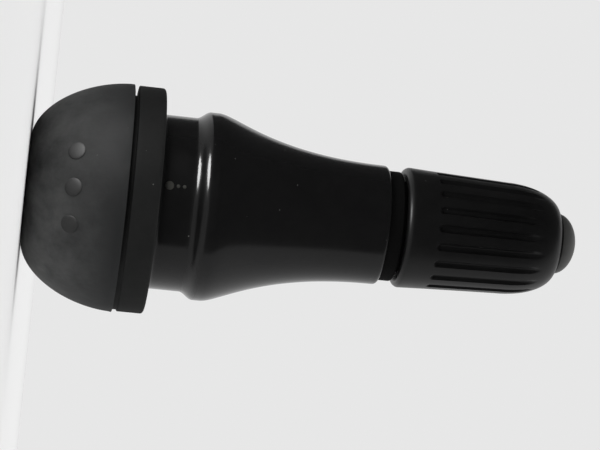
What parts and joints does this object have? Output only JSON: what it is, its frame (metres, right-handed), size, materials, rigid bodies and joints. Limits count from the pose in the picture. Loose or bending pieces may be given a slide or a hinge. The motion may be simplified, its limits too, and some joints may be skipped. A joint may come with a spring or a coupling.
{
  "type": "tyre valve",
  "caption": "Snap-in rubber tyre valve with a domed head, grooved neck and tapered sleeve on a brass stem, a sprung valve core and a fluted screw-on dust cap.",
  "frame": {"origin": "middle of the flat base of the rubber head", "axes": "+Z along the stem towards the tip of the dust cap; X and Y are free, because the body is round"},
  "size_m": [0.0192, 0.0192, 0.0468],
  "materials": {
    "rubber": "moulded black rubber, dusty and matte on the head, glossier on the neck and sleeve",
    "stem_brass": "turned brass",
    "core_brass": "turned brass, lightly worn",
    "seal_plastic": "waxy off-white sealing plastic",
    "seal_rubber": "smooth black rubber",
    "spring_steel": "drawn spring wire",
    "cap_plastic": "moulded black plastic with a soft gloss and fine scuffs"
  },
  "bodies": {
    "valve": {"rubber_body": "rubber", "brass_stem": "stem_brass", "core_plug": "core_brass", "core_barrel": "core_brass", "core_seal": "seal_plastic", "core_spring": "spring_steel"},
    "pin": {"core_pin": "core_brass", "pin_cup": "core_brass", "cup_washer": "seal_rubber"},
    "cap_seal": {"cap_gasket": "seal_rubber"},
    "cap": {"dust_cap": "cap_plastic"}
  },
  "joints": [
    {"name": "pin_press", "type": "slide", "parent": "valve", "child": "pin", "axis": [0, 0, -1], "range_m": [0, 0.0014], "stiffness_N_per_m": 600, "springref_m": -0.002, "deforming": ["core_spring"]},
    {"name": "cap_lift", "type": "slide", "parent": "valve", "child": "cap_seal", "axis": [0, 0, 1], "range_m": [0, 0.0119]},
    {"name": "cap_turn", "type": "hinge", "parent": "cap_seal", "child": "cap", "pos_m": [0, 0, 0.0314], "axis": [0, 0, 1], "range_deg": [0, 5400]}
  ],
  "couplings": [
    {"joint": "cap_turn", "follows": "cap_lift", "rad_per_m": 7915.8}
  ]
}
